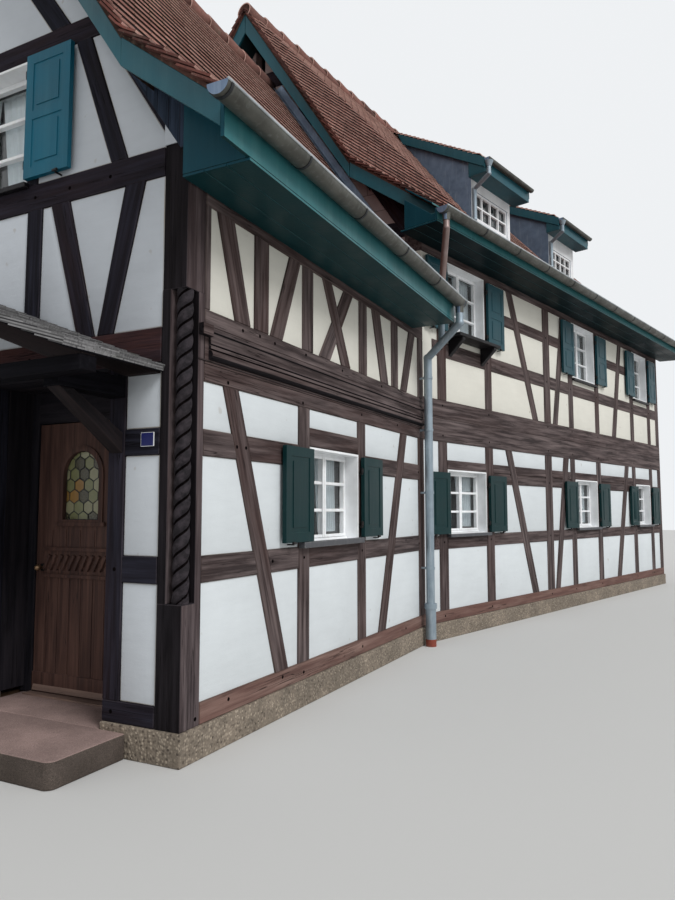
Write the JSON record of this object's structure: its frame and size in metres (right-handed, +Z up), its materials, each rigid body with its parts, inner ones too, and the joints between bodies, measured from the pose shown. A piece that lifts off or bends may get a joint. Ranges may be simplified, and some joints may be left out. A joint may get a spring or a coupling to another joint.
{
  "type": "half timbered house",
  "caption": "Hollow half timbered house of two gabled blocks meeting at a bend, with a recessed front door and hinged window shutters that swing",
  "frame": {"origin": "ground level under the carved corner post, where the near street wall and the near gable wall meet", "axes": "+X along the near street wall away from the carved corner, +Y into the house, +Z up"},
  "size_m": [14.7606, 8.6803, 8.81],
  "materials": {
    "stone": "rough",
    "sandstone": "rough",
    "dark_timber": "weathered",
    "plaster": "matt",
    "roof_tile": "matt",
    "teal_wood": "painted",
    "zinc": "dull",
    "red_wood": "oiled",
    "shingle": "weathered",
    "leaded_glass": "leaded",
    "clear_glass": "clear",
    "white_paint": "painted",
    "green_paint": "painted",
    "slate_sheet": "dull",
    "charcoal": "matt",
    "floor_wood": "plain",
    "black_iron": "dull"
  },
  "bodies": {
    "house": {"plinth": "stone", "step_slab": "sandstone", "corner_post": "dark_timber", "near_side_frame": "dark_timber", "near_side_infill": "plaster", "near_gable_frame": "dark_timber", "near_gable_infill": "plaster", "moulded_beam": "dark_timber", "near_roof": "roof_tile", "far_roof": "roof_tile", "far_roof_rear": "roof_tile", "verge_boards": "teal_wood", "eave_boxes": "teal_wood", "gutters": "zinc", "downpipe": "zinc", "door_frame": "dark_timber", "porch_roof": "shingle", "porch_frame": "dark_timber", "far_side_frame": "dark_timber", "far_side_infill": "plaster", "far_gable_frame": "dark_timber", "far_gable_infill": "plaster", "rear_frame": "dark_timber", "rear_infill": "plaster", "floors": "floor_wood", "dormer_walls": "slate_sheet", "dormer_roofs": "roof_tile", "dormer_boards": "teal_wood", "ground_windows": "white_paint", "upper_windows": "white_paint", "ground_glass": "clear_glass", "upper_glass": "clear_glass", "sill_boards": "charcoal", "hinge_pins": "black_iron"},
    "door": {"front_door": "red_wood", "door_glass": "leaded_glass"},
    "near_left_leaf": {"near_shutter_left": "green_paint"},
    "near_right_leaf": {"near_shutter_right": "green_paint"},
    "gable_left_leaf": {"gable_shutter_left": "teal_wood"},
    "gable_right_leaf": {"gable_shutter_right": "teal_wood"},
    "lower_leaf_1": {"lower_shutter_1": "green_paint"},
    "upper_leaf_1": {"upper_shutter_1": "teal_wood"},
    "lower_leaf_2": {"lower_shutter_2": "green_paint"},
    "upper_leaf_2": {"upper_shutter_2": "teal_wood"},
    "lower_leaf_3": {"lower_shutter_3": "green_paint"},
    "upper_leaf_3": {"upper_shutter_3": "teal_wood"},
    "lower_leaf_4": {"lower_shutter_4": "green_paint"},
    "upper_leaf_4": {"upper_shutter_4": "teal_wood"},
    "lower_leaf_5": {"lower_shutter_5": "green_paint"},
    "upper_leaf_5": {"upper_shutter_5": "teal_wood"},
    "lower_leaf_6": {"lower_shutter_6": "green_paint"},
    "upper_leaf_6": {"upper_shutter_6": "teal_wood"}
  },
  "joints": [
    {"name": "door_hinge", "type": "hinge", "parent": "house", "child": "door", "pos_m": [0.52, 0.853, 0.612], "axis": [0, 0, -1], "range_deg": [0, 95]},
    {"name": "near_left_leaf_hinge", "type": "hinge", "parent": "house", "child": "near_left_leaf", "pos_m": [1.687, -0.039, 1.344], "axis": [0, 0, 1], "range_deg": [0, 179]},
    {"name": "near_right_leaf_hinge", "type": "hinge", "parent": "house", "child": "near_right_leaf", "pos_m": [2.7, -0.039, 1.344], "axis": [0, 0, -1], "range_deg": [0, 179]},
    {"name": "gable_left_leaf_hinge", "type": "hinge", "parent": "house", "child": "gable_left_leaf", "pos_m": [-0.039, 2.85, 4.115], "axis": [0, 0, 1], "range_deg": [0, 179]},
    {"name": "gable_right_leaf_hinge", "type": "hinge", "parent": "house", "child": "gable_right_leaf", "pos_m": [-0.039, 1.55, 4.115], "axis": [0, 0, -1], "range_deg": [0, 179]},
    {"name": "lower_leaf_1_hinge", "type": "hinge", "parent": "house", "child": "lower_leaf_1", "pos_m": [5.13276, -0.17222, 1.304], "axis": [0, 0, 1], "range_deg": [0, 179]},
    {"name": "upper_leaf_1_hinge", "type": "hinge", "parent": "house", "child": "upper_leaf_1", "pos_m": [5.13276, -0.17222, 3.93], "axis": [0, 0, 1], "range_deg": [0, 179]},
    {"name": "lower_leaf_2_hinge", "type": "hinge", "parent": "house", "child": "lower_leaf_2", "pos_m": [6.11453, -0.42978, 1.304], "axis": [0, 0, -1], "range_deg": [0, 179]},
    {"name": "upper_leaf_2_hinge", "type": "hinge", "parent": "house", "child": "upper_leaf_2", "pos_m": [6.13871, -0.43612, 3.93], "axis": [0, 0, -1], "range_deg": [0, 179]},
    {"name": "lower_leaf_3_hinge", "type": "hinge", "parent": "house", "child": "lower_leaf_3", "pos_m": [9.07921, -1.20755, 1.304], "axis": [0, 0, 1], "range_deg": [0, 179]},
    {"name": "upper_leaf_3_hinge", "type": "hinge", "parent": "house", "child": "upper_leaf_3", "pos_m": [9.07921, -1.20755, 3.93], "axis": [0, 0, 1], "range_deg": [0, 179]},
    {"name": "lower_leaf_4_hinge", "type": "hinge", "parent": "house", "child": "lower_leaf_4", "pos_m": [10.04648, -1.46131, 1.304], "axis": [0, 0, -1], "range_deg": [0, 179]},
    {"name": "upper_leaf_4_hinge", "type": "hinge", "parent": "house", "child": "upper_leaf_4", "pos_m": [10.06582, -1.46638, 3.93], "axis": [0, 0, -1], "range_deg": [0, 179]},
    {"name": "lower_leaf_5_hinge", "type": "hinge", "parent": "house", "child": "lower_leaf_5", "pos_m": [12.04872, -1.98658, 1.304], "axis": [0, 0, 1], "range_deg": [0, 179]},
    {"name": "upper_leaf_5_hinge", "type": "hinge", "parent": "house", "child": "upper_leaf_5", "pos_m": [12.04872, -1.98658, 3.93], "axis": [0, 0, 1], "range_deg": [0, 179]},
    {"name": "lower_leaf_6_hinge", "type": "hinge", "parent": "house", "child": "lower_leaf_6", "pos_m": [12.90959, -2.21243, 1.304], "axis": [0, 0, -1], "range_deg": [0, 179]},
    {"name": "upper_leaf_6_hinge", "type": "hinge", "parent": "house", "child": "upper_leaf_6", "pos_m": [12.90959, -2.21243, 3.93], "axis": [0, 0, -1], "range_deg": [0, 179]}
  ]
}
